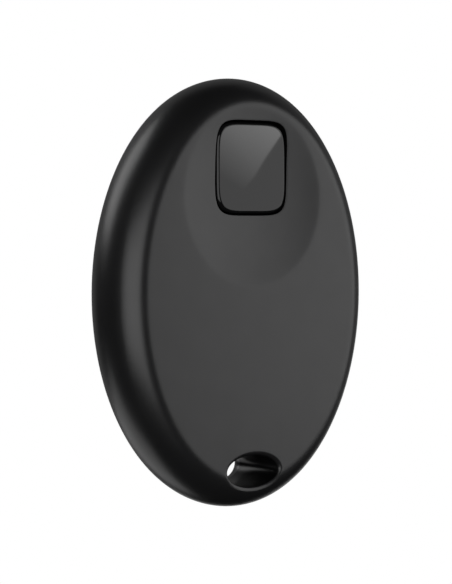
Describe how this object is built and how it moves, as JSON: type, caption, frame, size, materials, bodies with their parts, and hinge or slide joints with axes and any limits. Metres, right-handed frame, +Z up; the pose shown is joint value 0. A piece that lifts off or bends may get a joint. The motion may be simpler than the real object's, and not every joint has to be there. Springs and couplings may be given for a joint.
{
  "type": "bluetooth tracker tag",
  "caption": "Flat oval keyring tag with a satin rounded shell, a thumb dish around a glossy press button, a keyring tunnel and a clip-on back over a coin cell and radio board.",
  "frame": {"origin": "middle of the keyring tunnel, halfway through the tag's thickness", "axes": "+Z up the tag's length from the keyring tunnel towards the button, -Y out of the front face with the button, +Y out of the flat back cover, +X to the right seen from the front"},
  "size_m": [0.037, 0.0092, 0.05],
  "materials": {
    "casing": "satin",
    "button_gloss": "gloss",
    "silicone": "matte",
    "foam": "matte",
    "black_nylon": "matte",
    "spring_steel": "satin",
    "board": "satin",
    "chip_epoxy": "matte",
    "ferrite": "matte",
    "tantalum": "satin",
    "gold_plate": "satin",
    "capacitor_body": "satin",
    "buzzer_brass": "satin",
    "buzzer_ceramic": "matte",
    "cell_steel": "satin",
    "cell_core": "matte"
  },
  "bodies": {
    "housing": {"front_shell": "casing", "cover_seal": "silicone", "switch_base": "black_nylon", "switch_frame": "spring_steel", "circuit_board": "board", "board_screw_left": "spring_steel", "board_screw_right": "spring_steel", "radio_chip": "chip_epoxy", "main_crystal": "spring_steel", "clock_crystal": "spring_steel", "boost_coil": "ferrite", "buzzer_driver": "chip_epoxy", "bulk_capacitor": "tantalum", "antenna_track": "gold_plate", "capacitor_1": "capacitor_body", "capacitor_2": "capacitor_body", "capacitor_3": "capacitor_body", "capacitor_4": "capacitor_body", "capacitor_5": "capacitor_body", "capacitor_6": "capacitor_body", "resistor_1": "chip_epoxy", "resistor_2": "chip_epoxy", "resistor_3": "chip_epoxy", "resistor_4": "chip_epoxy", "test_pad_1": "gold_plate", "test_pad_2": "gold_plate", "test_pad_3": "gold_plate", "test_pad_4": "gold_plate", "buzzer_adhesive": "foam", "buzzer_plate": "buzzer_brass", "buzzer_ceramic": "buzzer_ceramic", "buzzer_pin_plate": "gold_plate", "buzzer_pin_ceramic": "gold_plate", "cell_can": "cell_steel", "cell_gasket": "black_nylon", "cell_cap": "cell_steel", "cell_core": "cell_core", "battery_holder": "black_nylon", "positive_clip": "spring_steel", "negative_contact": "spring_steel"},
    "back_cover": {"back_cover": "casing", "battery_pad": "foam"},
    "button": {"button_cap": "button_gloss"},
    "switch_plunger": {"switch_plunger": "black_nylon"}
  },
  "joints": [
    {"name": "button_press", "type": "slide", "parent": "housing", "child": "button", "axis": [0, 1, 0], "range_m": [0, 0.00025], "stiffness_N_per_m": 4000},
    {"name": "plunger_press", "type": "slide", "parent": "housing", "child": "switch_plunger", "axis": [0, 1, 0], "range_m": [0, 0.00025]},
    {"name": "back_cover_off", "type": "slide", "parent": "housing", "child": "back_cover", "axis": [0, 1, 0], "range_m": [0, 0.014]}
  ],
  "couplings": [
    {"joint": "plunger_press", "follows": "button_press", "ratio": 1}
  ]
}
